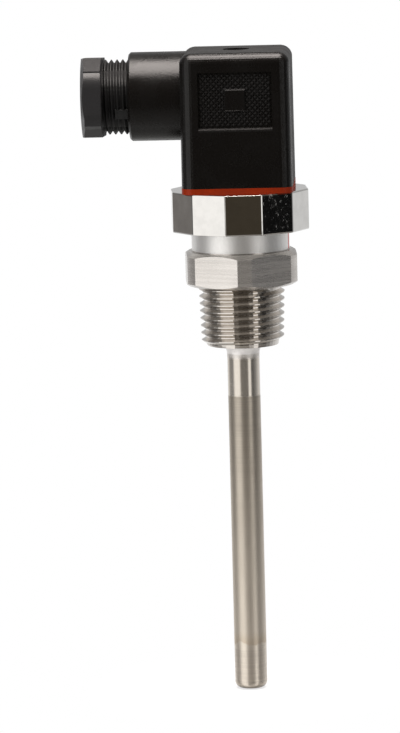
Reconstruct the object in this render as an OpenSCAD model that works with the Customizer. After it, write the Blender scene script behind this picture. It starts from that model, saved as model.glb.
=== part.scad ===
// Resistance thermometer probe with a process thread and an angled plug head.
// Frame: +Z up along the probe, origin where the probe axis meets the lower face
// of the hexagon, cable gland towards -X, textured panel towards -Y.

/* [Probe] */
// Outer diameter of the protective tube
tube_d = 8; // [6:0.5:9]
// Wall thickness of the protective tube
tube_wall = 0.8; // [0.5:0.1:1]
// Length of the probe below the hexagon
probe_l = 101.5; // [60:0.5:200]
// Length of the closed tip welded to the tube
tip_l = 10; // [8:0.5:14]
// Rounding at the end of the tip
tip_round = 1.6; // [0.5:0.1:2]

/* [Process thread] */
// Thread pitch, fourteen turns to the inch
thread_pitch = 1.814; // [1:0.001:2.5]
// Crest diameter where the thread meets the hexagon
thread_d = 21.3; // [18:0.05:24]
// Depth of the thread
thread_depth = 1.16; // [0.6:0.02:1.2]
// Length of the threaded stem
thread_l = 15; // [13:0.5:18]
// Taper of the stem, change of diameter per length
thread_taper = 0.0625; // [0:0.0125:0.0625]
// Radius of the weld fillet between stem and tube
fillet_r = 2.2; // [1:0.1:3]

/* [Hexagon and neck] */
// Width across the flats of the hexagon
hex_af = 27; // [26:0.5:28]
// Turned diameter over the corners of the hexagon
hex_corner_d = 29.4; // [29:0.1:31]
// Height of the hexagon
hex_h = 8.5; // [6:0.5:12]
// Angle by which the metal parts are turned about the probe axis
fitting_turn = 5.5; // [0:0.5:15]
// Diameter of the neck over its label
neck_d = 24.1; // [23:0.1:25]
// Visible height of the neck
neck_h = 5.1; // [4:0.1:8]
// Thickness of the label band
label_t = 0.1; // [0.05:0.05:0.2]

/* [Twelve sided head] */
// Width across the flats of the head
head_af = 33.5; // [32:0.1:35]
// Height of the head
head_h = 10; // [9:0.1:12]
// Broken edge round both faces of the head
head_edge = 0.2; // [0.1:0.1:0.6]
// Thickness of the floor inside the head
head_floor = 3; // [2:0.5:4]
// Diameter of the spigot that carries the head
spigot_d = 20; // [19:0.5:21]
// Section diameter of the O-ring on the spigot
o_ring_d = 1.3; // [1:0.1:1.6]

/* [Plug housing] */
// Width of the housing at its foot
housing_w = 27.1; // [26:0.1:29]
// Draft of each side of the housing, foot to top
housing_draft = 0.1; // [0:0.05:0.3]
// Height of the housing
housing_h = 33; // [31:0.5:36]
// Radius of the upright corners
corner_r = 3; // [2:0.25:4]
// Rounding of the top edges
top_round = 2.75; // [1.5:0.25:3]
// Width of the cavity that holds the contact carrier
cavity_w = 22.8; // [21:0.2:23.4]
// Thickness of the flat gasket under the housing
gasket_t = 1.4; // [1:0.1:2.5]

/* [Textured panel] */
// Width of the panel
panel_w = 18; // [14:0.1:18.4]
// Height of the panel
panel_h = 13.5; // [10:0.1:15]
// Height of the middle of the panel above the foot of the housing
panel_z = 21.5; // [20:0.1:22]
// Depth of the panel
panel_depth = 0.7; // [0.4:0.1:0.9]
// Spacing of the small pyramids
knurl_pitch = 1.33; // [1.2:0.01:2]
// Height of the small pyramids
knurl_h = 0.4; // [0.2:0.05:0.6]
// Width of the plain field in the middle of the panel
field_w = 5.2; // [4:0.1:8]
// Height of the plain field
field_h = 5.4; // [4:0.1:8]

/* [Cable gland] */
// Height of the gland axis above the foot of the housing
gland_z = 21.8; // [21:0.1:22]
// Outer diameter of the gland collar
collar_d = 21.8; // [21:0.1:22]
// Distance from the probe axis to the end of the collar
collar_x = 26.3; // [24:0.1:30]
// Crest diameter of the gland thread
gland_d = 18.4; // [17:0.1:18.6]
// Pitch of the gland thread, eighteen turns to the inch
gland_pitch = 1.411; // [1:0.001:2]
// Depth of the gland thread
gland_depth = 0.8; // [0.5:0.05:0.9]
// Bare length of thread between collar and nut head
gland_gap = 6.5; // [4:0.1:7]
// Length of the threaded shank of the nut
shank_l = 9.7; // [9.5:0.1:10.2]
// Length of the nut head
nut_l = 5; // [4:0.1:7]
// Width across the flats of the nut head
nut_af = 23.2; // [21:0.1:24]
// Width over the two flattened corners of the nut head
nut_flat = 19.2; // [18.8:0.1:23]
// Angle by which the nut is turned about its own axis
nut_turn = 3; // [0:0.5:30]
// Bore of the nut
nut_bore = 11; // [10.4:0.1:12]
// Bore of the rubber seal
seal_bore = 9; // [7:0.5:9.5]
// Length of the rubber seal
seal_l = 5; // [4:0.1:5.2]
// Thickness of the slip washer
slip_t = 1; // [0.8:0.1:1]

/* [Contacts] */
// Distance of the blades from the plug axis
blade_r = 9; // [8.6:0.1:9.2]
// Width of a blade
blade_w = 6.3; // [5.8:0.1:6.3]
// Thickness of a blade
blade_t = 0.8; // [0.6:0.1:0.8]
// Height of the blades above the metal head
blade_h = 9.7; // [8:0.1:10]

/* [Centre screw] */
// Diameter of the centre screw
screw_d = 3; // [2.6:0.1:3]
// Diameter of the screw head
screw_head_d = 5.5; // [5:0.1:5.6]
// Diameter of the recess around the screw head
recess_d = 6.6; // [6.2:0.1:7]
// Depth of the recess
recess_depth = 3.4; // [3:0.1:3.6]

/* [Hidden] */

// How far a cut runs past the face it opens, and how far a joined piece is sunk
past = 1;
sunk = 0.5;

// Smoothness of the exact round surfaces
$fn = 64;
// Smoothness of the round parts that go into a hull
hull_fn = 32;
// Segments round each helical thread
thread_fn = 48;

// Clearances: seats within one body, sliding fits and pockets
seat_gap = 0.02;
thread_gap = 0.05;
slide_gap = 0.1;
pocket_gap = 0.3;

// Levels along the probe axis
neck_top = hex_h + neck_h;
head_top = neck_top + head_h;
foot_z = head_top + gasket_t;
housing_top = foot_z + housing_h;
floor_z = neck_top + head_floor;
o_ring_z = neck_top + head_floor / 2;
groove_w = o_ring_d + 0.3;
tip_top = tip_l - probe_l;
tube_r = tube_d / 2;
tube_inner_r = tube_r - tube_wall;
tube_seat = 1.5;
tube_seat_cut = 0.3;
tube_seat_r = tube_r - tube_seat_cut;
tube_top = tube_seat - thread_l;
wire_bore_r = 6;
fillet_end = -thread_l - fillet_r;

// Sensor inside the tube
tip_bore_r = 2.5;
tip_floor = 2;
tip_spigot_l = 3;
rod_r = 2.9;
rod_top = -2;
rod_end = tip_top + tip_spigot_l;
element_r = 2.2;
wire_r = 0.45;
wire_hole_r = 0.6;
wire_circle_r = 1.5;
wire_bend_z = 15.5;

// Plug base set in the head
base_r = 12.6;
base_t = 3.8;
base_bottom = head_top - base_t;
tail_l = 1.6;
lead_in = 0.9;
line_angles = [0, 90, 180];
earth_angle = 270;
contact_angles = [0, 90, 180, 270];
centre_nut_r = 2.6;

// Contact carrier and terminals inside the housing
carrier_w = cavity_w - 2 * pocket_gap;
carrier_r = 1.2;
carrier_bottom = foot_z + 0.2;
carrier_floor = 1;
carrier_rim = 0.9;
clamp_h = 6;
clamp_w = 7;
clamp_depth = 4.6;
clamp_shift = 1;
socket_w = blade_w + 1.3;
socket_t = 2.6;
socket_roof = 1;
socket_bottom = carrier_bottom + carrier_floor + slide_gap;
slot_top = head_top + blade_h + 0.6;
socket_top = slot_top + socket_roof;
clamp_top = socket_top + clamp_h;
carrier_top = clamp_top + carrier_rim;
wire_way_r = 1.3;
wire_way_z = socket_top + 2.6;
terminal_screw_r = 1.45;
terminal_head_r = 2.4;
terminal_head_h = 1.8;
terminal_screw_l = 5;

// Upper part of the housing
upper_w = 21.4;
cavity_r = 1.5;
plate_sunk = 0.3;
field_depth = 0.15;
roof_z = housing_top - 2.2;
recess_floor = housing_top - recess_depth;
washer_t = 0.6;
screw_seat = recess_floor + washer_t;
screw_head_h = 2;
screw_slot_w = 0.8;
screw_slot_depth = 1.1;
screw_clear_r = screw_d / 2 + 2 * slide_gap;
boss_r = 4.4;
boss_h = 6.8;
boss_bottom = roof_z - boss_h;
screw_end = base_bottom + 0.7;
screw_l = screw_seat - screw_end;

// Gland along the -X side
gland_height = foot_z + gland_z;
collar_bore_r = gland_d / 2 + slide_gap;
collar_edge = 0.5;
seal_seat_x = 15.6;
cable_way_r = 7;
nut_inner_x = collar_x + gland_gap - shank_l;
nut_head_x = collar_x + gland_gap;
seal_r = collar_bore_r - pocket_gap;
panel_centre = foot_z + panel_z;

// Radius of a helical thread's surface: crest or root of the taper, cut back by
// the chamfer at the free end, at the point with share h of the ridge height.
function thread_r(z, h, end_r, top_r, taper, depth) =
    min(top_r + z * taper / 2 - depth * (1 - h), end_r + max(z, 0));

// Right-hand external thread along +Z from z = 0, closed by flat ends. Each ring
// of the grid climbs one pitch per turn. It has as many whole turns as fit above
// the lead. The ridge fades in, and it fades out the run-out before the last turn.
module helical_thread(length, pitch, first_r, depth, taper, end_r, lead, run_out) {
    turns = floor((length - lead) / pitch - 1);
    sides = thread_fn;
    steps = 4;
    rings = steps * turns;
    share_z = [0, 0.12, 0.5, 0.62];
    share_h = [0, 0, 1, 1];
    fade = 0.08;
    ridge_end = turns - run_out;
    function ridge(i, k) =
        let (turn = floor(k / steps) + i / sides)
        share_h[k % steps] * max(0, min(1, turn / fade, (ridge_end - turn) / fade));
    function height(i, k) =
        lead + pitch * (floor(k / steps) + share_z[k % steps] + i / sides);
    function point(i, z, h) =
        let (r = thread_r(z, h, end_r, first_r, taper, depth), a = 360 * i / sides)
        [r * cos(a), r * sin(a), z];
    function at(i, k) = i * (rings + 1) + k;
    low = sides * (rings + 1);
    high = low + sides;
    points = [
        for (i = [0:sides - 1]) for (k = [0:rings]) point(i, height(i, k), ridge(i, k)),
        for (i = [0:sides - 1]) point(i, 0, 0),
        for (i = [0:sides - 1]) point(i, length, 0)
    ];
    last = sides - 1;
    faces = [
        for (i = [0:last - 1]) for (k = [0:rings - 1])
            each [[at(i, k), at(i, k + 1), at(i + 1, k)],
                  [at(i + 1, k), at(i, k + 1), at(i + 1, k + 1)]],
        for (k = [0:rings - steps - 1])
            each [[at(last, k), at(last, k + 1), at(0, k + steps)],
                  [at(0, k + steps), at(last, k + 1), at(0, k + steps + 1)]],
        for (i = [0:last - 1])
            each [[low + i, at(i, 0), low + i + 1],
                  [low + i + 1, at(i, 0), at(i + 1, 0)],
                  [at(i, rings), high + i, at(i + 1, rings)],
                  [at(i + 1, rings), high + i, high + i + 1]],
        [low + last, at(0, 0), low],
        for (k = [0:steps - 1]) [low + last, at(0, k + 1), at(0, k)],
        [low + last, at(last, 0), at(0, steps)],
        [high, at(0, rings), at(last, rings - steps)],
        for (k = [rings - steps:rings - 1]) [high, at(last, k), at(last, k + 1)],
        [high, at(last, rings), high + last],
        [for (i = [0:last]) low + i],
        [for (i = [0:last]) high + last - i]
    ];
    polyhedron(points, faces);
}

// Upright block with rounded corners
module rounded_block(w, r, h) {
    inner = w / 2 - r;
    linear_extrude(h) {
        square([w, w - 2 * r], center = true);
        square([w - 2 * r, w], center = true);
        for (x = [-inner, inner], y = [-inner, inner]) translate([x, y]) circle(r);
    }
}

// Places its children at a contact position, with the blade across the radius
module at_contact(angle) {
    rotate([0, 0, angle]) translate([blade_r, 0, 0]) children();
}

// Six-sided prism with turned corners and both faces chamfered at 30 degrees
module hexagon_body() {
    face_margin = 0.5;
    face_r = hex_af / 2 - face_margin;
    corner = hex_corner_d / 2;
    drop = (corner - face_r) * tan(30);
    intersection() {
        rotate([0, 0, 30]) cylinder(h = hex_h, r = hex_af / 2 / cos(30), $fn = 6);
        rotate_extrude() polygon([
            [0, 0], [face_r, 0], [corner, drop], [corner, hex_h - drop],
            [face_r, hex_h], [0, hex_h]
        ]);
    }
}

// Concave ring of weld metal between the stem and the tube
module weld_fillet() {
    foot_r = tube_r + fillet_r;
    rotate_extrude() difference() {
        translate([0, fillet_end]) square([foot_r, fillet_r + sunk]);
        translate([foot_r, fillet_end]) circle(fillet_r);
    }
}

module process_fitting() {
    shoulder_l = 1;
    thread_start = 134;
    thread_lead = 0.05;
    thread_run_out = 0.5;
    end_chamfer = 0.2;
    buried = thread_pitch;
    neck_r = neck_d / 2 - label_t;
    start_r = thread_d / 2 - thread_l * thread_taper / 2;
    end_r = start_r - thread_depth - end_chamfer;
    groove_r = spigot_d / 2 - o_ring_d - seat_gap;
    color("silver") rotate([0, 0, fitting_turn]) difference() {
        union() {
            hexagon_body();
            cylinder(h = neck_top, r = neck_r);
            cylinder(h = floor_z, r = spigot_d / 2);
            translate([0, 0, -thread_l]) rotate([0, 0, thread_start]) helical_thread(
                thread_l + buried, thread_pitch, start_r, thread_depth, thread_taper,
                end_r, thread_lead, thread_run_out);
            weld_fillet();
        }
        translate([0, 0, tube_top + shoulder_l])
            cylinder(h = floor_z - tube_top, r = wire_bore_r);
        translate([0, 0, fillet_end - past])
            cylinder(h = tube_top - fillet_end + past, r = tube_seat_r + seat_gap);
        translate([0, 0, fillet_end])
            cylinder(h = tube_top - fillet_end + shoulder_l + past, r = tube_inner_r);
        translate([0, 0, o_ring_z - groove_w / 2]) difference() {
            cylinder(h = groove_w, r = spigot_d);
            cylinder(h = groove_w, r = groove_r);
        }
    }
}

module protective_tube() {
    color("lightgray") difference() {
        translate([0, 0, tip_top]) {
            cylinder(h = fillet_end - tip_top, r = tube_r);
            cylinder(h = tube_top - tip_top, r = tube_seat_r);
        }
        translate([0, 0, tip_top - past])
            cylinder(h = tube_top - tip_top + 2 * past, r = tube_inner_r);
    }
}

module tube_tip() {
    color("silver") difference() {
        union() {
            translate([0, 0, tip_top - tip_l]) rotate_extrude() {
                square([tube_r - tip_round, tip_l]);
                translate([0, tip_round]) square([tube_r, tip_l - tip_round]);
                translate([tube_r - tip_round, tip_round]) circle(tip_round);
            }
            translate([0, 0, tip_top])
                cylinder(h = tip_spigot_l, r = tube_inner_r - seat_gap);
        }
        translate([0, 0, tip_top - tip_l + tip_floor])
            cylinder(h = tip_l + tip_spigot_l, r = tip_bore_r);
    }
}

module label_band() {
    margin = 0.25;
    gap_w = 2;
    color("whitesmoke") rotate([0, 0, fitting_turn])
        translate([0, 0, hex_h + margin]) difference() {
            cylinder(h = neck_h - 2 * margin, r = neck_d / 2);
            translate([0, 0, -past])
                cylinder(h = neck_h + 2 * past, r = neck_d / 2 - label_t);
            translate([-gap_w / 2, 0, -past]) cube([gap_w, neck_d, neck_h + 2 * past]);
        }
}

module head_body() {
    circum_r = head_af / 2 / cos(15);
    color("gainsboro") rotate([0, 0, fitting_turn + 15]) difference() {
        hull() {
            translate([0, 0, neck_top])
                cylinder(h = head_h, r = circum_r - head_edge, $fn = 12);
            translate([0, 0, neck_top + head_edge])
                cylinder(h = head_h - 2 * head_edge, r = circum_r, $fn = 12);
        }
        translate([0, 0, neck_top - past])
            cylinder(h = head_h, r = spigot_d / 2 + seat_gap);
        translate([0, 0, floor_z]) cylinder(h = head_h, r = base_r + seat_gap);
    }
}

module head_o_ring() {
    color("dimgray") translate([0, 0, o_ring_z]) rotate_extrude()
        translate([spigot_d / 2 - o_ring_d / 2, 0]) circle(o_ring_d / 2);
}

module plug_base() {
    color("#202020") difference() {
        translate([0, 0, base_bottom]) cylinder(h = base_t, r = base_r);
        translate([0, 0, base_bottom - past])
            cylinder(h = base_t + 2 * past, r = centre_nut_r + seat_gap);
        for (angle = contact_angles) at_contact(angle)
            translate([-blade_t / 2, -blade_w / 2, base_bottom - past])
                cube([blade_t, blade_w, base_t + 2 * past]);
    }
}

module centre_nut() {
    color("goldenrod") difference() {
        translate([0, 0, base_bottom]) cylinder(h = base_t, r = centre_nut_r);
        translate([0, 0, base_bottom - past])
            cylinder(h = base_t + 2 * past, r = screw_d / 2 + slide_gap);
    }
}

// Flat blade with a tapered nose and a narrow solder tail
module blade(angle) {
    top = head_top + blade_h;
    tail_w = 3;
    nose_w = blade_w - 2 * lead_in;
    color("lightgray") at_contact(angle) rotate([90, 0, 90])
        translate([0, 0, -blade_t / 2]) linear_extrude(blade_t) polygon([
            [-tail_w / 2, base_bottom - tail_l], [tail_w / 2, base_bottom - tail_l],
            [tail_w / 2, base_bottom], [blade_w / 2, base_bottom],
            [blade_w / 2, top - lead_in], [nose_w / 2, top],
            [-nose_w / 2, top], [-blade_w / 2, top - lead_in],
            [-blade_w / 2, base_bottom], [-tail_w / 2, base_bottom]
        ]);
}

module line_blade_1() {
    blade(line_angles[0]);
}

module line_blade_2() {
    blade(line_angles[1]);
}

module line_blade_3() {
    blade(line_angles[2]);
}

module earth_blade() {
    blade(earth_angle);
}

module flat_gasket() {
    proud = 0.05;
    hole_gap = 0.5;
    hole_w = blade_w + 2 * hole_gap;
    hole_t = blade_t + 2 * hole_gap;
    color("orangered") difference() {
        translate([0, 0, head_top])
            rounded_block(housing_w + 2 * proud, corner_r, gasket_t);
        translate([0, 0, head_top - past])
            cylinder(h = gasket_t + 2 * past, r = screw_d / 2 + hole_gap);
        for (angle = contact_angles) at_contact(angle)
            translate([-hole_t / 2, -hole_w / 2, head_top - past])
                cube([hole_t, hole_w, gasket_t + 2 * past]);
    }
}

module ceramic_insulator() {
    color("ivory") difference() {
        translate([0, 0, rod_end]) cylinder(h = rod_top - rod_end, r = rod_r);
        for (angle = line_angles) rotate([0, 0, angle])
            translate([wire_circle_r, 0, rod_end - past])
                cylinder(h = rod_top - rod_end + 2 * past, r = wire_hole_r);
    }
}

module pt100_element() {
    bottom = tip_top - tip_l + tip_floor + pocket_gap;
    color("white") translate([0, 0, bottom]) cylinder(h = rod_end - bottom, r = element_r);
}

// One wire from the element up the insulator and out to its blade tail, where it
// ends in a bead of solder
module lead_wire(angle) {
    bead_r = wire_r + 0.1;
    outer_r = blade_r - blade_t / 2 - bead_r;
    top = base_bottom - tail_l + bead_r;
    run = outer_r - wire_circle_r;
    rise = top - wire_bend_z;
    slope = atan2(run, rise);
    rotate([0, 0, angle]) {
        translate([wire_circle_r, 0, rod_end]) cylinder(h = wire_bend_z - rod_end, r = wire_r);
        translate([wire_circle_r, 0, wire_bend_z]) sphere(bead_r);
        translate([wire_circle_r, 0, wire_bend_z]) rotate([0, slope, 0])
            cylinder(h = norm([run, rise]), r = wire_r);
        translate([outer_r, 0, top]) sphere(bead_r);
    }
}

module lead_wires() {
    color("firebrick") for (angle = line_angles) lead_wire(angle);
}

// Outer form of the housing: four upright corners under a rounded top
module housing_form() {
    foot = housing_w / 2 - corner_r;
    top = foot - housing_draft;
    hull() for (x = [-1, 1], y = [-1, 1]) {
        translate([x * foot, y * foot, foot_z]) cylinder(h = 0.1, r = corner_r, $fn = hull_fn);
        translate([x * top, y * top, housing_top - top_round])
            scale([1, 1, top_round / corner_r]) sphere(corner_r, $fn = hull_fn);
    }
}

// Field of small pyramids that fills the panel of the -Y face. Tips stand at the
// even points of the grid, grooves join the odd ones, and its flat back is sunk
// into the wall behind the panel.
module pyramid_field() {
    margin = 0.05;
    step = knurl_pitch / 2;
    plate_w = panel_w - 2 * margin;
    plate_h = panel_h - 2 * margin;
    columns = round(plate_w / step);
    rows = round(plate_h / step);
    dx = plate_w / columns;
    dz = plate_h / rows;
    groove = panel_depth - margin;
    back = panel_depth + plate_sunk;
    function at(i, k) = i * (rows + 1) + k;
    function inside(i, k) = i > 0 && i < columns && k > 0 && k < rows;
    function depth(i, k) = groove - (inside(i, k) && (i + k) % 2 == 0 ? knurl_h : 0);
    rear = (columns + 1) * (rows + 1);
    points = [
        for (i = [0:columns]) for (k = [0:rows])
            [i * dx - plate_w / 2, depth(i, k), k * dz - plate_h / 2],
        for (x = [-1, 1], z = [-1, 1]) [x * plate_w / 2, back, z * plate_h / 2]
    ];
    faces = [
        for (i = [0:columns - 1]) for (k = [0:rows - 1])
            each (i + k) % 2 == 0
                ? [[at(i, k), at(i, k + 1), at(i + 1, k)],
                   [at(i + 1, k), at(i, k + 1), at(i + 1, k + 1)]]
                : [[at(i, k), at(i + 1, k + 1), at(i + 1, k)],
                   [at(i, k), at(i, k + 1), at(i + 1, k + 1)]],
        for (i = [0:columns - 1])
            each [[rear, at(i, 0), at(i + 1, 0)],
                  [rear + 3, at(i + 1, rows), at(i, rows)]],
        for (k = [0:rows - 1])
            each [[rear + 1, at(0, k + 1), at(0, k)],
                  [rear + 2, at(columns, k), at(columns, k + 1)]],
        [rear, at(columns, 0), rear + 2],
        [rear + 3, at(0, rows), rear + 1],
        [rear + 1, at(0, 0), rear],
        [rear + 2, at(columns, rows), rear + 3],
        [rear, rear + 2, rear + 3, rear + 1]
    ];
    polyhedron(points, faces);
}

// Recess of the panel, with a sloping ledge along its lower edge
module panel_recess() {
    ledge = 0.5;
    rotate([90, 0, 90]) translate([0, 0, -panel_w / 2]) linear_extrude(panel_w)
        polygon([
            [-past, panel_h / 2], [panel_depth, panel_h / 2], [panel_depth, -panel_h / 2],
            [0, -panel_h / 2 - ledge], [-past, -panel_h / 2 - ledge]
        ]);
}

// Plain field in the middle of the panel, with a bevel round its face
module plain_field() {
    bevel = 0.3;
    bevel_end = field_depth + bevel;
    back = panel_depth + plate_sunk + sunk;
    hull() {
        translate([-field_w / 2, bevel_end, -field_h / 2])
            cube([field_w, back - bevel_end, field_h]);
        translate([bevel - field_w / 2, field_depth, bevel - field_h / 2])
            cube([field_w - 2 * bevel, bevel, field_h - 2 * bevel]);
    }
}

// Puts a panel's parts on the -Y face and on the +Y face
module on_panel_faces() {
    for (side = [0, 180]) rotate([0, 0, side])
        translate([0, -housing_w / 2, panel_centre]) children();
}

module connector_housing() {
    wall_end = upper_w / 2 - past;
    color("#2b2b2b") difference() {
        union() {
            difference() {
                union() {
                    housing_form();
                    translate([0, 0, gland_height]) rotate([0, -90, 0]) {
                        cylinder(h = collar_x - collar_edge, r = collar_d / 2);
                        translate([0, 0, collar_x - collar_edge]) cylinder(
                            h = collar_edge, r1 = collar_d / 2,
                            r2 = collar_d / 2 - collar_edge);
                    }
                }
                translate([0, 0, foot_z - past])
                    rounded_block(cavity_w, cavity_r, carrier_top - foot_z + past);
                translate([0, 0, carrier_top - past])
                    rounded_block(upper_w, cavity_r, roof_z - carrier_top + past);
                on_panel_faces() panel_recess();
            }
            on_panel_faces() {
                pyramid_field();
                plain_field();
            }
            translate([0, 0, boss_bottom])
                cylinder(h = roof_z - boss_bottom + past, r = boss_r);
        }
        translate([0, 0, recess_floor]) cylinder(h = recess_depth + past, r = recess_d / 2);
        translate([0, 0, boss_bottom - past]) cylinder(h = housing_h, r = screw_clear_r);
        translate([-seal_seat_x, 0, gland_height]) rotate([0, -90, 0])
            cylinder(h = collar_x, r = collar_bore_r);
        translate([-wall_end, 0, gland_height]) rotate([0, -90, 0])
            cylinder(h = collar_x, r = cable_way_r);
    }
}

// Rectangular pocket, open at its top, for a piece shifted towards the plug axis
module pocket(depth, width, gap, shift, bottom) {
    translate([-depth / 2 - shift - gap, -width / 2 - gap, bottom])
        cube([depth + 2 * gap, width + 2 * gap, housing_h]);
}

module contact_carrier() {
    color("#3a3a3a") difference() {
        translate([0, 0, carrier_bottom])
            rounded_block(carrier_w, carrier_r, carrier_top - carrier_bottom - slide_gap);
        translate([0, 0, carrier_bottom - past])
            cylinder(h = housing_h, r = screw_d / 2 + pocket_gap);
        for (angle = contact_angles) at_contact(angle) {
            pocket(socket_t, socket_w, slide_gap, 0, socket_bottom - slide_gap);
            pocket(blade_t, blade_w, pocket_gap, 0, carrier_bottom - past);
            pocket(clamp_depth, clamp_w, slide_gap, clamp_shift, socket_top);
        }
    }
}

// Socket for the blade below, wire clamp with its screw hole above
module terminal(angle) {
    slot_w = blade_w + 2 * slide_gap;
    slot_t = blade_t + 2 * slide_gap;
    color("darkkhaki") at_contact(angle) difference() {
        union() {
            translate([-socket_t / 2, -socket_w / 2, socket_bottom])
                cube([socket_t, socket_w, socket_top - socket_bottom + slide_gap]);
            translate([-clamp_depth / 2 - clamp_shift, -clamp_w / 2, socket_top + slide_gap])
                cube([clamp_depth, clamp_w, clamp_h - slide_gap]);
        }
        translate([-slot_t / 2, -slot_w / 2, socket_bottom - past])
            cube([slot_t, slot_w, slot_top - socket_bottom + past]);
        translate([-clamp_shift, 0, clamp_top - terminal_screw_l])
            cylinder(h = clamp_h + past, r = terminal_screw_r + thread_gap);
        translate([-clamp_shift, 0, wire_way_z]) rotate([90, 0, 0])
            cylinder(h = clamp_w + 2 * past, r = wire_way_r, center = true);
    }
}

module line_terminal_1() {
    terminal(line_angles[0]);
}

module line_terminal_2() {
    terminal(line_angles[1]);
}

module line_terminal_3() {
    terminal(line_angles[2]);
}

module earth_terminal() {
    terminal(earth_angle);
}

// Slotted cheese head screw standing on z = 0, shank downwards
module cheese_head_screw(shank_r, shank_length, head_r, head_height) {
    difference() {
        union() {
            translate([0, 0, -shank_length]) cylinder(h = shank_length + sunk, r = shank_r);
            cylinder(h = head_height, r = head_r);
        }
        translate([-screw_slot_w / 2, -head_r - past, head_height - screw_slot_depth])
            cube([screw_slot_w, 2 * (head_r + past), screw_slot_depth + past]);
    }
}

module terminal_screws() {
    color("silver") for (angle = contact_angles) at_contact(angle)
        translate([-clamp_shift, 0, clamp_top]) cheese_head_screw(
            terminal_screw_r, terminal_screw_l - 2 * slide_gap, terminal_head_r,
            terminal_head_h);
}

module centre_screw() {
    color("silver") translate([0, 0, screw_seat]) cheese_head_screw(
        screw_d / 2, screw_l, screw_head_d / 2, screw_head_h);
}

module screw_washer() {
    color("dimgray") translate([0, 0, recess_floor]) difference() {
        cylinder(h = washer_t, r = screw_head_d / 2 + 2 * slide_gap);
        translate([0, 0, -past]) cylinder(h = washer_t + 2 * past, r = screw_clear_r);
    }
}

// Hexagonal head with two flattened corners on a hollow threaded shank
module gland_nut() {
    chamfer_l = 1;
    chamfer_r = 2;
    thread_lead = 1.13;
    end_chamfer = 0.2;
    buried = 1.5 * gland_pitch;
    pad_turn = 24;
    pad_w = 2.5;
    pad_start = gland_gap / 2;
    pad_l = gland_gap;
    pad_r = gland_d / 2 - thread_gap;
    rim_r = nut_af / 2 + 1;
    root_r = gland_d / 2 - gland_depth;
    color("#4a4a4a") translate([-nut_head_x, 0, gland_height]) difference() {
        union() {
            rotate([0, -90, 0]) rotate([0, 0, nut_turn]) intersection() {
                rotate([0, 0, 60])
                    cylinder(h = nut_l, r = nut_af / 2 / cos(30), $fn = 6);
                rotate_extrude() polygon([
                    [0, 0], [nut_af, 0], [nut_af, nut_l - chamfer_l],
                    [rim_r, nut_l - chamfer_l], [rim_r - chamfer_r, nut_l], [0, nut_l]
                ]);
                translate([-nut_flat / 2, -nut_af, 0]) cube([nut_flat, 2 * nut_af, nut_l]);
            }
            translate([shank_l, 0, 0]) rotate([0, -90, 0]) helical_thread(
                shank_l + buried, gland_pitch, gland_d / 2, gland_depth, 0,
                root_r - end_chamfer, thread_lead, 0);
            intersection() {
                translate([pad_start, 0, 0]) rotate([0, 90, 0])
                    cylinder(h = pad_l, r = pad_r);
                rotate([pad_turn, 0, 0]) translate([0, -gland_d, -pad_w / 2])
                    cube([shank_l, gland_d, pad_w]);
            }
        }
        translate([shank_l + past, 0, 0]) rotate([0, -90, 0])
            cylinder(h = shank_l + nut_l + 2 * past, r = nut_bore / 2);
    }
}

module slip_washer() {
    color("silver") translate([-nut_inner_x, 0, gland_height]) rotate([0, 90, 0])
        difference() {
            cylinder(h = slip_t, r = seal_r - slide_gap);
            translate([0, 0, -past])
                cylinder(h = slip_t + 2 * past, r = nut_bore / 2 + 2 * slide_gap);
        }
}

module gland_seal() {
    color("#303030") translate([-seal_seat_x, 0, gland_height]) rotate([0, -90, 0])
        difference() {
            cylinder(h = seal_l, r = seal_r);
            translate([0, 0, -past]) cylinder(h = seal_l + 2 * past, r = seal_bore / 2);
        }
}

process_fitting();
protective_tube();
tube_tip();
label_band();
head_body();
head_o_ring();
plug_base();
centre_nut();
line_blade_1();
line_blade_2();
line_blade_3();
earth_blade();
flat_gasket();
ceramic_insulator();
pt100_element();
lead_wires();
connector_housing();
contact_carrier();
line_terminal_1();
line_terminal_2();
line_terminal_3();
earth_terminal();
terminal_screws();
centre_screw();
screw_washer();
gland_nut();
slip_washer();
gland_seal();
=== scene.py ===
import math

import bmesh
import bpy
from mathutils import Matrix, Vector


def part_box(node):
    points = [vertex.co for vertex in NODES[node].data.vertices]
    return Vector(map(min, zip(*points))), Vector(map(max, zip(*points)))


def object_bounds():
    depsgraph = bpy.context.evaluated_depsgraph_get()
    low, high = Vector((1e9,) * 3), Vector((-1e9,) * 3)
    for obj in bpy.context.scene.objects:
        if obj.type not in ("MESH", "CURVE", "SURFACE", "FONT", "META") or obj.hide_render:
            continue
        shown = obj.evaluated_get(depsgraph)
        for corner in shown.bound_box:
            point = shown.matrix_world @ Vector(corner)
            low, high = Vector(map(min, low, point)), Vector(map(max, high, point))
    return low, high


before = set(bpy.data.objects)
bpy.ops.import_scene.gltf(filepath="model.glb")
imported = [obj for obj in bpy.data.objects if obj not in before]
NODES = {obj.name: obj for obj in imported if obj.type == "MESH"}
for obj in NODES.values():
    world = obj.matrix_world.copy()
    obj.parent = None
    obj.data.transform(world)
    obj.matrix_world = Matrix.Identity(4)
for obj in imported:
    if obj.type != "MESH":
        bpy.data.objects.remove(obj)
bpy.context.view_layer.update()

MM = 1000  # millimetres in a metre


# ---------------------------------------------------------------- camera
# Lengths in metres. It looks at the side with the textured panel (-Y).
CAM_TURN = math.radians(3.0)  # to the right
CAM_LIFT = math.radians(8.2)
CAM_ROLL = math.radians(-1.495)
CAM_DIST = 1.15
CAM_TARGET = Vector((-0.01081, 0, -0.0205))
CAM_LENS = 228.1
CAM_SENSOR = 36
CAM_CLIP = (0.05, 20)


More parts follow.
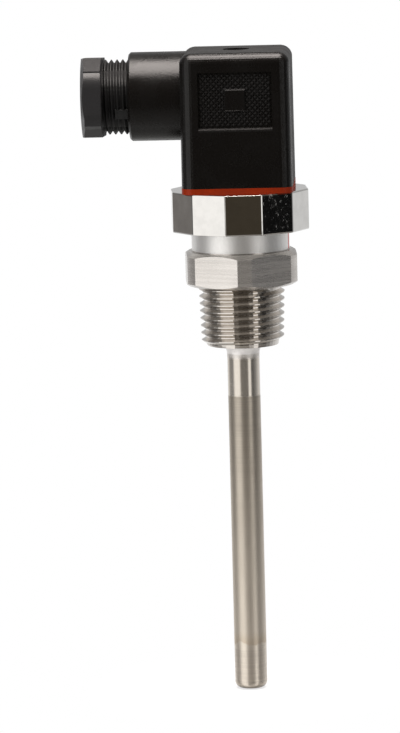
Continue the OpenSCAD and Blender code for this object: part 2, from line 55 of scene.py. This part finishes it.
def make_camera():
    data = bpy.data.cameras.new("camera")
    data.lens = CAM_LENS
    data.sensor_width = CAM_SENSOR
    data.sensor_fit = "AUTO"
    data.clip_start, data.clip_end = CAM_CLIP
    cam = bpy.data.objects.new("camera", data)
    bpy.context.scene.collection.objects.link(cam)
    back = Vector((math.sin(CAM_TURN) * math.cos(CAM_LIFT),
                   -math.cos(CAM_TURN) * math.cos(CAM_LIFT), math.sin(CAM_LIFT)))
    turn = (-back).to_track_quat("-Z", "Y").to_matrix()
    cam.matrix_world = (Matrix.Translation(CAM_TARGET + back * CAM_DIST)
                        @ (turn @ Matrix.Rotation(CAM_ROLL, 3, "Z")).to_4x4())
    bpy.context.scene.camera = cam


# ---------------------------------------------------------------- node helper
class Tree:
    """Short calls for one node tree. Lengths in its coordinates are millimetres."""

    def __init__(self, tree):
        self.tree = tree
        self.mm = None

    def node(self, kind, **settings):
        n = self.tree.nodes.new(kind)
        for k, v in settings.items():
            setattr(n, k, v)
        return n

    def put(self, socket, value):
        """Link a socket, or set its value. A colour may come without its alpha."""
        if isinstance(value, bpy.types.NodeSocket):
            self.tree.links.new(value, socket)
        elif value is not None:
            if socket.type == "RGBA" and len(value) == 3:
                value = (*value, 1)
            socket.default_value = value

    def coord(self):
        """Place on the piece, in millimetres from the frame's origin."""
        if self.mm is None:
            c = self.node("ShaderNodeTexCoord")
            s = self.node("ShaderNodeVectorMath", operation="SCALE")
            self.put(s.inputs[0], c.outputs["Object"])
            s.inputs["Scale"].default_value = MM
            self.mm = s.outputs[0]
        return self.mm

    def stretch(self, x, y, z):
        """The same place with each axis times its own factor."""
        m = self.node("ShaderNodeVectorMath", operation="MULTIPLY")
        self.put(m.inputs[0], self.coord())
        m.inputs[1].default_value = (x, y, z)
        return m.outputs[0]

    def xyz(self, vector=None):
        s = self.node("ShaderNodeSeparateXYZ")
        self.put(s.inputs[0], vector or self.coord())
        return s.outputs[0], s.outputs[1], s.outputs[2]

    def math(self, op, a, b=None):
        m = self.node("ShaderNodeMath", operation=op)
        for socket, value in zip(m.inputs, (a, b)):
            self.put(socket, value)
        return m.outputs[0]

    def add(self, a, b):
        return self.math("ADD", a, b)

    def less(self, a, b):
        return self.math("SUBTRACT", a, b)

    def times(self, a, b):
        return self.math("MULTIPLY", a, b)

    def rise(self, value, start, end, low=0.0, high=1.0):
        """A smooth step from low at start to high at end."""
        r = self.node("ShaderNodeMapRange", interpolation_type="SMOOTHSTEP")
        for name, v in (("Value", value), ("From Min", start), ("From Max", end),
                        ("To Min", low), ("To Max", high)):
            self.put(r.inputs[name], v)
        return r.outputs["Result"]

    def band(self, value, low, high, soft):
        """1 between low and high, with soft edges."""
        return self.times(self.rise(value, low - soft, low + soft),
                          self.rise(value, high + soft, high - soft))

    def noise(self, vector, scale, detail=2.0, rough=0.5):
        n = self.node("ShaderNodeTexNoise", noise_dimensions="3D")
        self.put(n.inputs["Vector"], vector)
        for name, v in (("Scale", scale), ("Detail", detail), ("Roughness", rough)):
            n.inputs[name].default_value = v
        return n.outputs["Fac"]

    def mix(self, fac, a, b):
        """Colour a where fac is 0, and colour b where it is 1."""
        m = self.node("ShaderNodeMix", data_type="RGBA")
        self.put(m.inputs[0], fac)
        self.put(m.inputs[6], a)
        self.put(m.inputs[7], b)
        return m.outputs[2]

    def ramp(self, fac, stops):
        r = self.node("ShaderNodeValToRGB")
        elements = r.color_ramp.elements
        while len(elements) < len(stops):
            elements.new(1)
        for element, (place, colour) in zip(elements, stops):
            element.position = place
            element.color = (*colour, 1)
        self.put(r.inputs[0], fac)
        return r.outputs[0]

    def bump(self, height, distance, normal=None):
        """Height 0 to 1 stands for 0 to distance, in millimetres."""
        b = self.node("ShaderNodeBump")
        b.inputs["Distance"].default_value = distance / MM
        b.inputs["Strength"].default_value = 1.0
        self.put(b.inputs["Height"], height)
        if normal is not None:
            self.put(b.inputs["Normal"], normal)
        return b.outputs[0]


def material(name, **fixed):
    """A new material with a Principled shader and its Tree."""
    m = bpy.data.materials.new(name)
    m.use_nodes = True
    t = Tree(m.node_tree)
    t.shader = m.node_tree.nodes["Principled BSDF"]
    for k, v in fixed.items():
        t.put(t.shader.inputs[k.replace("_", " ")], v)
    return m, t


def finish_material(t, colour, gloss, normal):
    t.put(t.shader.inputs["Base Color"], colour)
    t.put(t.shader.inputs["Roughness"], gloss)
    t.put(t.shader.inputs["Normal"], normal)


def dress(mat, *names):
    for name in names:
        slots = NODES[name].data.materials
        slots.clear()
        slots.append(mat)


# ---------------------------------------------------------------- metals
# Zones along the probe, in millimetres of height: where each starts and where it is full
THREAD = (0.2, -0.2)  # cut surface below the hexagon
FILLET_WELD = (-14.9, -15.7)  # on the fitting, below the thread
TUBE_WELD = (-18.8, -17.5)  # on the tube, towards the fitting
BRIGHT = (-28.0, -27.4)  # polished length of the tube, towards the fitting
# painted light: over this span the tube is painted paler towards the bottom, for light from
# below
PAINTED_LIGHT_LOW = (-30, -88)
HEAT_TINT = (-86.5, -90.0)
TIP_EDGE = (-87.6, -88.2)
TIP_EDGE_WANDER = 4.0
TIP_ROUND_SHADE = (1.1, 0.2)  # painted shade on the round end: where it starts and where it is full, above the very end

SHADE = (0.1, 0.09, 0.08)
RUB_MARKS = (math.radians(-71), math.radians(-43))  # the facet to the right of the front


def steel(name, base, dark, rough, streak, grain, satin, zones):
    """Turned or brushed steel: streaks round the axis, and slow stains. The part that
    isn't satin scatters light evenly, as fine grooves do."""
    m, t = material(name, Metallic=satin, Specular_IOR_Level=0.3)
    lines = t.noise(t.stretch(0.05, 0.05, streak), 1.0, 4, 0.65)
    broad = t.noise(t.stretch(0.02, 0.02, streak * 0.3), 1.0, 2, 0.5)
    stain = t.noise(t.coord(), 0.12, 3, 0.55)
    colour = t.mix(t.rise(stain, 0.3, 0.7), base, dark)
    colour = t.mix(t.times(t.rise(broad, 0.35, 0.65), 0.13), colour, SHADE)
    gloss = t.add(t.rise(lines, 0.3, 0.7, *rough), t.rise(stain, 0.3, 0.7, -0.03, 0.03))
    finish_material(t, *zones(t, colour, gloss, t.bump(lines, grain)))
    return m


def fitting_zones(t, colour, gloss, normal):
    """Warm cut thread under the brushed hexagon, and the pale blasted weld fillet."""
    _, _, z = t.xyz()
    weld = t.times(t.rise(z, *FILLET_WELD), 0.9)
    thread = t.rise(z, *THREAD)
    speck = t.noise(t.coord(), 3.0, 2, 0.6)
    colour = t.mix(thread, colour, (0.66, 0.625, 0.585))
    colour = t.mix(weld, colour, (0.90, 0.87, 0.85))
    gloss = t.less(gloss, t.times(thread, 0.09))
    gloss = t.add(gloss, t.times(weld, 0.42))
    share = t.add(0.82, t.times(thread, 0.16))
    share = t.less(share, t.times(weld, 0.62))
    t.put(t.shader.inputs["Metallic"], share)
    return colour, gloss, t.bump(t.times(speck, weld), 0.007, normal)


def tube_zones(t, colour, gloss, normal):
    """Bright collar by the weld, brown satin below that is painted paler towards the bottom
    (painted light from below), a heat tint over the tip seam, and an uneven edge where the
    bright tip begins."""
    _, _, z = t.xyz()
    bright = t.rise(z, *BRIGHT)
    uneven = t.times(t.noise(t.coord(), 0.45, 1, 0.4), TIP_EDGE_WANDER)
    tip = t.rise(t.add(z, uneven), *TIP_EDGE)
    weld = t.times(t.rise(z, *TUBE_WELD), 0.75)
    pale = t.rise(z, *PAINTED_LIGHT_LOW)
    tint = t.times(t.rise(z, *HEAT_TINT), t.less(1.0, tip))
    # painted light: the lower tube is painted paler, for the light it takes from below
    colour = t.mix(pale, colour, (0.62, 0.56, 0.48))
    colour = t.mix(bright, colour, (0.65, 0.60, 0.535))
    colour = t.mix(weld, colour, (0.86, 0.83, 0.80))
    colour = t.mix(t.times(tint, 0.5), colour, (0.50, 0.40, 0.28))
    colour = t.mix(tip, colour, (0.66, 0.60, 0.52))
    gloss = t.less(gloss, t.times(bright, 0.16))
    gloss = t.add(gloss, t.times(pale, 0.08))
    gloss = t.add(gloss, t.times(weld, 0.4))
    gloss = t.less(gloss, t.times(tip, 0.10))
    return colour, gloss, normal


def tip_zones(t, colour, gloss, normal):
    """Painted shade: the round end, which faces down, is painted darker towards the very end.
    """
    _, _, z = t.xyz()
    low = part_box("tube_tip")[0].z * MM
    start, full = (low + rise for rise in TIP_ROUND_SHADE)
    return t.mix(t.rise(z, start, full, 0.0, 0.8), colour, (0.12, 0.10, 0.08)), gloss, normal


def polished(name, base):
    """Mirror polish with slow waves and hairlines, and rub marks on one facet."""
    m, t = material(name, Metallic=1.0)
    waves = t.noise(t.coord(), 0.16, 1, 0.4)
    hair = t.noise(t.stretch(0.3, 0.3, 7.0), 1.0, 3, 0.6)
    stain = t.noise(t.coord(), 0.4, 3, 0.5)
    colour = t.mix(t.rise(stain, 0.35, 0.75), base, [c * 0.93 for c in base])
    x, y, _ = t.xyz()
    marks = t.rise(t.noise(t.stretch(1.2, 1.2, 0.8), 1.0, 3, 0.6), 0.52, 0.74)
    marks = t.times(marks, t.band(t.math("ARCTAN2", y, x), *RUB_MARKS, 0.02))
    gloss = t.add(t.rise(hair, 0.3, 0.75, 0.05, 0.12), t.times(marks, 0.26))
    finish_material(t, colour, gloss, t.bump(hair, 0.0008, t.bump(waves, 0.12)))
    return m


def plain_metal(name, base, rough, scale=1.2):
    m, t = material(name, Metallic=1.0)
    fine = t.noise(t.coord(), scale, 4, 0.6)
    colour = t.mix(t.rise(fine, 0.3, 0.7), base, [c * 0.86 for c in base])
    gloss = t.rise(fine, 0.3, 0.7, rough - 0.06, rough + 0.08)
    finish_material(t, colour, gloss, t.bump(fine, 0.008))
    return m


# ---------------------------------------------------------------- plastics, rubber, ceramic
# The gland nut, in millimetres
NUT_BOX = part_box("gland_nut")
NUT_HEAD = 5.0
NUT_SHANK_X = NUT_BOX[0].x * MM + NUT_HEAD
NUT_AXIS_Z = (NUT_BOX[0].z + NUT_BOX[1].z) / 2 * MM
CROWN_START = 3.0  # from the axis
CROWN_REACH = 3.9
CROWN_DROP = 0.105  # times the square of the distance past the start

# The textured panel on the side of the housing, in millimetres
PANEL_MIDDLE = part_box("connector_housing")[0].z * MM + 21.5
PANEL_W = 18
PANEL_H = 13.5
FIELD_W = 5.2
FIELD_H = 5.4


def moulded(name, base, rough, grain, grain_scale=9.0, specular=0.5, mottle=0.0,
            mottle_scale=1.6, shade=None, crown=None):
    """Moulded or fired surface: fine spark grain, coarser mottling, cloudy gloss. Seen
    along the surface, the grain takes the gloss away."""
    m, t = material(name, Specular_IOR_Level=specular)
    fine = t.noise(t.coord(), grain_scale, 2, 0.7)
    cloud = t.noise(t.coord(), 0.18, 3, 0.5)
    colour = t.mix(t.rise(cloud, 0.3, 0.7), base, [c * 0.82 for c in base])
    dull = 0.0
    if shade:
        colour, dull = shade(t, colour)
    normal = t.bump(fine, grain)
    if mottle:
        normal = t.bump(t.noise(t.coord(), mottle_scale, 3, 0.6), mottle, normal)
    if crown:
        normal = t.bump(crown(t), 1.0, normal)
    graze = t.node("ShaderNodeLayerWeight")
    graze.inputs["Blend"].default_value = 0.3
    gloss = t.add(t.rise(cloud, 0.3, 0.7, rough - 0.04, rough + 0.05),
                  t.rise(graze.outputs["Facing"], 0.55, 0.95, 0.0, 0.38))
    finish_material(t, colour, t.add(gloss, dull), normal)
    return m


def nut_shade(t, colour):
    """Painted shade: the threaded shank, shaded by the collar and the nut's head, is painted
    darker than the head; it is also duller.
    """
    x, _, _ = t.xyz()
    shank = t.rise(x, NUT_SHANK_X - 0.1, NUT_SHANK_X + 0.1)
    return t.mix(shank, colour, (0.0025, 0.0025, 0.0025)), t.times(shank, 0.22)


def nut_crown(t):
    """Height in millimetres: the flats fall away a little towards their long edges."""
    _, _, z = t.xyz()
    off = t.math("ABSOLUTE", t.less(z, NUT_AXIS_Z))
    past = t.math("MINIMUM", t.math("MAXIMUM", t.less(off, CROWN_START), 0.0), CROWN_REACH)
    return t.times(t.times(past, past), -CROWN_DROP)


def panel_edges(t, colour):
    """The upper bevel of the panel's plain field and the panel's lower ledge are duller."""
    x, _, z = t.xyz()
    field_top = PANEL_MIDDLE + FIELD_H / 2
    panel_foot = PANEL_MIDDLE - PANEL_H / 2
    bevel = t.times(t.band(z, field_top - 0.3, field_top + 0.35, 0.05),
                    t.band(x, -FIELD_W / 2 - 0.3, FIELD_W / 2 + 0.3, 0.05))
    ledge = t.times(t.band(z, panel_foot - 0.9, panel_foot + 0.02, 0.02),
                    t.band(x, -PANEL_W / 2, PANEL_W / 2, 0.02))
    return colour, t.add(t.times(bevel, 0.3), t.times(ledge, 0.2))


# ---------------------------------------------------------------- label
LABEL_LINE = math.radians(-9)
LABEL_LINE_HALF = 0.045  # radians


def label_film(name):
    """Silver foil, bare, with the thin red line at the end of the band."""
    m, t = material(name, Metallic=0.9)
    x, y, _ = t.xyz()
    angle = t.math("ARCTAN2", y, x)
    red = t.band(angle, LABEL_LINE - LABEL_LINE_HALF, LABEL_LINE + LABEL_LINE_HALF, 0.006)
    fine = t.noise(t.coord(), 5.0, 2, 0.5)
    foil = t.mix(t.rise(fine, 0.3, 0.7), (0.90, 0.89, 0.87), (0.85, 0.84, 0.83))
    finish_material(t, t.mix(red, foil, (0.62, 0.06, 0.05)),
                    t.rise(fine, 0.3, 0.7, 0.41, 0.49), t.bump(fine, 0.004))
    return m


# ---------------------------------------------------------------- every piece gets its material
def dress_pieces():
    dress(steel("fitting_steel", (0.67, 0.64, 0.61), (0.62, 0.59, 0.56), (0.20, 0.32),
                streak=4.0, grain=0.0042, satin=0.82, zones=fitting_zones),
          "process_fitting")
    dress(steel("tube_steel", (0.465, 0.417, 0.352), (0.425, 0.378, 0.318), (0.30, 0.42),
                streak=12.0, grain=0.0025, satin=0.82, zones=tube_zones),
          "protective_tube")
    dress(steel("tip_steel", (0.66, 0.60, 0.52), (0.61, 0.55, 0.48), (0.29, 0.35),
                streak=6.0, grain=0.001, satin=0.80, zones=tip_zones),
          "tube_tip")
    dress(polished("polished_steel", (0.72, 0.71, 0.69)), "head_body")
    dress(label_film("label_film"), "label_band")
    dress(moulded("gasket_rubber", (0.18, 0.0135, 0.0006), 0.40, 0.012, grain_scale=4.0,
                  specular=0.13),
          "flat_gasket")
    dress(moulded("housing_plastic", (0.0032, 0.0027, 0.0024), 0.27, 0.010, grain_scale=11.0,
                  specular=0.28, mottle=0.05, mottle_scale=2.2, shade=panel_edges),
          "connector_housing")
    dress(moulded("nut_plastic", (0.016, 0.0155, 0.016), 0.34, 0.010, grain_scale=8.0,
                  specular=0.4, mottle=0.015, shade=nut_shade, crown=nut_crown),
          "gland_nut")
    dress(moulded("base_plastic", (0.03, 0.03, 0.03), 0.45, 0.01), "plug_base")
    dress(moulded("carrier_plastic", (0.06, 0.06, 0.06), 0.5, 0.01), "contact_carrier")
    dress(moulded("black_rubber", (0.028, 0.028, 0.028), 0.62, 0.02, grain_scale=6.0),
          "head_o_ring", "gland_seal", "screw_washer")
    dress(moulded("washer_plastic", (0.66, 0.66, 0.62), 0.4, 0.008), "slip_washer")
    dress(moulded("wire_cover", (0.50, 0.06, 0.045), 0.4, 0.006), "lead_wires")
    dress(moulded("ceramic", (0.86, 0.83, 0.76), 0.55, 0.02, grain_scale=5.0),
          "ceramic_insulator")
    dress(moulded("element_ceramic", (0.90, 0.90, 0.87), 0.5, 0.02, grain_scale=5.0),
          "pt100_element")
    dress(plain_metal("brass", (0.78, 0.58, 0.26), 0.28), "centre_nut")
    dress(plain_metal("tinned_brass", (0.70, 0.69, 0.66), 0.32, 2.0),
          "line_blade_1", "line_blade_2", "line_blade_3", "earth_blade")
    dress(plain_metal("terminal_brass", (0.74, 0.66, 0.46), 0.3),
          "line_terminal_1", "line_terminal_2", "line_terminal_3", "earth_terminal")
    dress(plain_metal("screw_steel", (0.66, 0.66, 0.66), 0.3, 2.5),
          "centre_screw", "terminal_screws")


# ---------------------------------------------------------------- edges
CREASE = math.radians(25)
BROKEN_EDGE = 0.00015  # metres
SEAM = 2e-6


def shade_edges():
    """Round faces are smooth and edges stay sharp. The polished head has lightly broken
    edges, which catch the lamps."""
    for node in NODES.values():
        node.data.shade_smooth()
        node.data.set_sharp_from_angle(angle=CREASE)
    head = NODES["head_body"]
    weld = head.modifiers.new("weld", "WELD")
    weld.merge_threshold = SEAM
    edges = head.modifiers.new("broken_edges", "BEVEL")
    edges.width = BROKEN_EDGE
    edges.segments = 1
    edges.limit_method = "ANGLE"
    edges.angle_limit = CREASE
    head.data.shade_flat()


# ---------------------------------------------------------------- stage and light
FLOOR_R = 0.045
FLOOR_GAP = 0.0002
WORLD_FILL = 0.45


def make_floor():
    """A small white table just under the tip. It fades out before its edge."""
    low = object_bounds()[0].z
    mesh = bpy.data.meshes.new("floor")
    bm = bmesh.new()
    bmesh.ops.create_circle(bm, cap_ends=True, segments=96, radius=FLOOR_R)
    bm.to_mesh(mesh)
    bm.free()
    floor = bpy.data.objects.new("floor", mesh)
    bpy.context.scene.collection.objects.link(floor)
    floor.location = (0, 0, low - FLOOR_GAP)
    m = bpy.data.materials.new("floor")
    m.use_nodes = True
    tree = m.node_tree
    t = Tree(tree)
    tree.nodes.remove(tree.nodes["Principled BSDF"])
    path = t.node("ShaderNodeLightPath")
    seen = t.math("MAXIMUM", path.outputs["Is Camera Ray"],
                  t.math("MAXIMUM", path.outputs["Is Glossy Ray"],
                         path.outputs["Is Transmission Ray"]))
    length = t.node("ShaderNodeVectorMath", operation="LENGTH")
    t.put(length.inputs[0], t.coord())
    speck = t.noise(t.coord(), 0.8, 2, 0.5)
    diffuse = t.node("ShaderNodeBsdfDiffuse")
    t.put(diffuse.inputs["Color"], t.mix(speck, (0.90, 0.90, 0.90), (0.88, 0.88, 0.88)))
    glow = t.node("ShaderNodeEmission")
    glow.inputs["Strength"].default_value = 1.0
    blend = t.node("ShaderNodeMixShader")
    t.put(blend.inputs[0], t.times(seen, 0.7))
    t.put(blend.inputs[1], diffuse.outputs[0])
    t.put(blend.inputs[2], glow.outputs[0])
    clear = t.node("ShaderNodeBsdfTransparent")
    fade = t.node("ShaderNodeMixShader")
    t.put(fade.inputs[0],
          t.rise(length.outputs["Value"], FLOOR_R * 0.30 * MM, FLOOR_R * 0.96 * MM))
    t.put(fade.inputs[1], blend.outputs[0])
    t.put(fade.inputs[2], clear.outputs[0])
    t.put(tree.nodes["Material Output"].inputs["Surface"], fade.outputs[0])
    mesh.materials.append(m)
    floor.visible_glossy = False


def stop(place, value, tint=(1, 1, 1)):
    """One stop of the room's ramp: a grey of this value, times its tint."""
    return place, tuple(value * c for c in tint)


WARM = (1.0, 0.81, 0.57)
SOFT = (1.0, 0.985, 0.965)
DUSK = (1.0, 0.93, 0.88)
# Share of the turn from the left (-X) over the front (-Y), the right and the back:
# two soft boxes in a dim warm room, and the pale backdrop behind
LEFT_BOX = (0.02, 0.185)
RIGHT_BOX = (0.345, 0.40)
ROOM = [stop(0.0, 0.13), stop(0.03, 0.14), stop(0.058, 1.1, SOFT), stop(0.073, 1.25, SOFT),
        stop(0.175, 1.25, SOFT), stop(0.195, 0.10, WARM), stop(0.22, 0.055, WARM),
        stop(0.30, 0.052, WARM), stop(0.340, 0.055, WARM), stop(0.355, 1.2, SOFT),
        stop(0.396, 1.2, SOFT), stop(0.41, 0.012), stop(0.433, 0.004), stop(0.45, 0.006),
        stop(0.48, 0.10), stop(0.52, 0.25), stop(0.56, 0.50), stop(0.60, 0.72),
        stop(0.64, 0.85), stop(0.75, 1.0), stop(0.875, 0.90), stop(0.91, 0.50),
        stop(0.935, 0.205, DUSK), stop(1.0, 0.13)]


def make_world():
    """White where it is seen, and a plain soft light. Metal sees a pale backdrop behind
    the object and a dim room in front of it."""
    world = bpy.data.worlds.new("studio")
    bpy.context.scene.world = world
    world.use_nodes = True
    t = Tree(world.node_tree)
    back = world.node_tree.nodes["Background"]
    path = t.node("ShaderNodeLightPath")
    direction = t.node("ShaderNodeTexCoord")
    x, y, z = t.xyz(direction.outputs["Generated"])
    # 0 to the right (+X), 90 behind (+Y), 180 to the left, -90 towards the front
    angle = t.times(t.math("ARCTAN2", y, x), 180 / math.pi)
    around = t.math("DIVIDE", t.add(angle, 180), 360)
    room = t.ramp(around, ROOM)
    behind = t.rise(y, -0.25, 0.25)
    # the soft boxes are tall: only the room between them changes with height
    open_room = t.less(1.0, t.add(t.band(around, *LEFT_BOX, 0.01),
                                  t.band(around, *RIGHT_BOX, 0.006)))
    low = t.times(open_room, t.rise(z, -0.35, -0.75))
    room = t.mix(low, room, t.mix(behind, (0.32, 0.30, 0.275), (0.48, 0.47, 0.45)))
    high = t.times(open_room, t.rise(z, 0.30, 0.70))
    room = t.mix(high, room, t.mix(behind, (0.12, 0.105, 0.085), (0.50, 0.48, 0.46)))
    dim = t.times(behind, t.rise(z, -0.03, 0.07))
    room = t.mix(t.times(dim, 0.44), room, (0, 0, 0))
    seen = path.outputs["Is Camera Ray"]
    glossy = t.math("MAXIMUM", path.outputs["Is Glossy Ray"],
                    path.outputs["Is Transmission Ray"])
    colour = t.mix(glossy, (WORLD_FILL,) * 3, room)
    t.put(back.inputs["Color"], t.mix(seen, colour, (1, 1, 1)))
    back.inputs["Strength"].default_value = 1.0


LAMP_AIM = Vector((0, 0, -0.02))


def softbox(name, azimuth, height, distance, size, watts, glossy, tint=(1, 1, 1)):
    """Area lamp aimed at the fitting. Azimuth 0 is the front, positive to the right."""
    data = bpy.data.lights.new(name, "AREA")
    data.shape = "RECTANGLE"
    data.size, data.size_y = size
    data.energy = watts
    data.color = tint
    lamp = bpy.data.objects.new(name, data)
    bpy.context.scene.collection.objects.link(lamp)
    a = math.radians(azimuth)
    lamp.location = Vector((math.sin(a) * distance, -math.cos(a) * distance, height))
    lamp.rotation_mode = "QUATERNION"
    lamp.rotation_quaternion = (LAMP_AIM - lamp.location).to_track_quat("-Z", "Y")
    lamp.visible_glossy = glossy


# ---------------------------------------------------------------- the scene
dress_pieces()
make_camera()
make_world()
make_floor()
softbox("softbox_left", -50, 0.10, 1.0, (0.70, 1.3), 9, glossy=False)
softbox("softbox_right", 42, 0.10, 1.0, (0.30, 1.3), 3, glossy=False)
softbox("softbox_top", 0, 1.1, 0.08, (0.85, 0.85), 30, glossy=True, tint=(1.0, 0.92, 0.875))

bpy.context.scene.view_settings.view_transform = "Standard"

shade_edges()
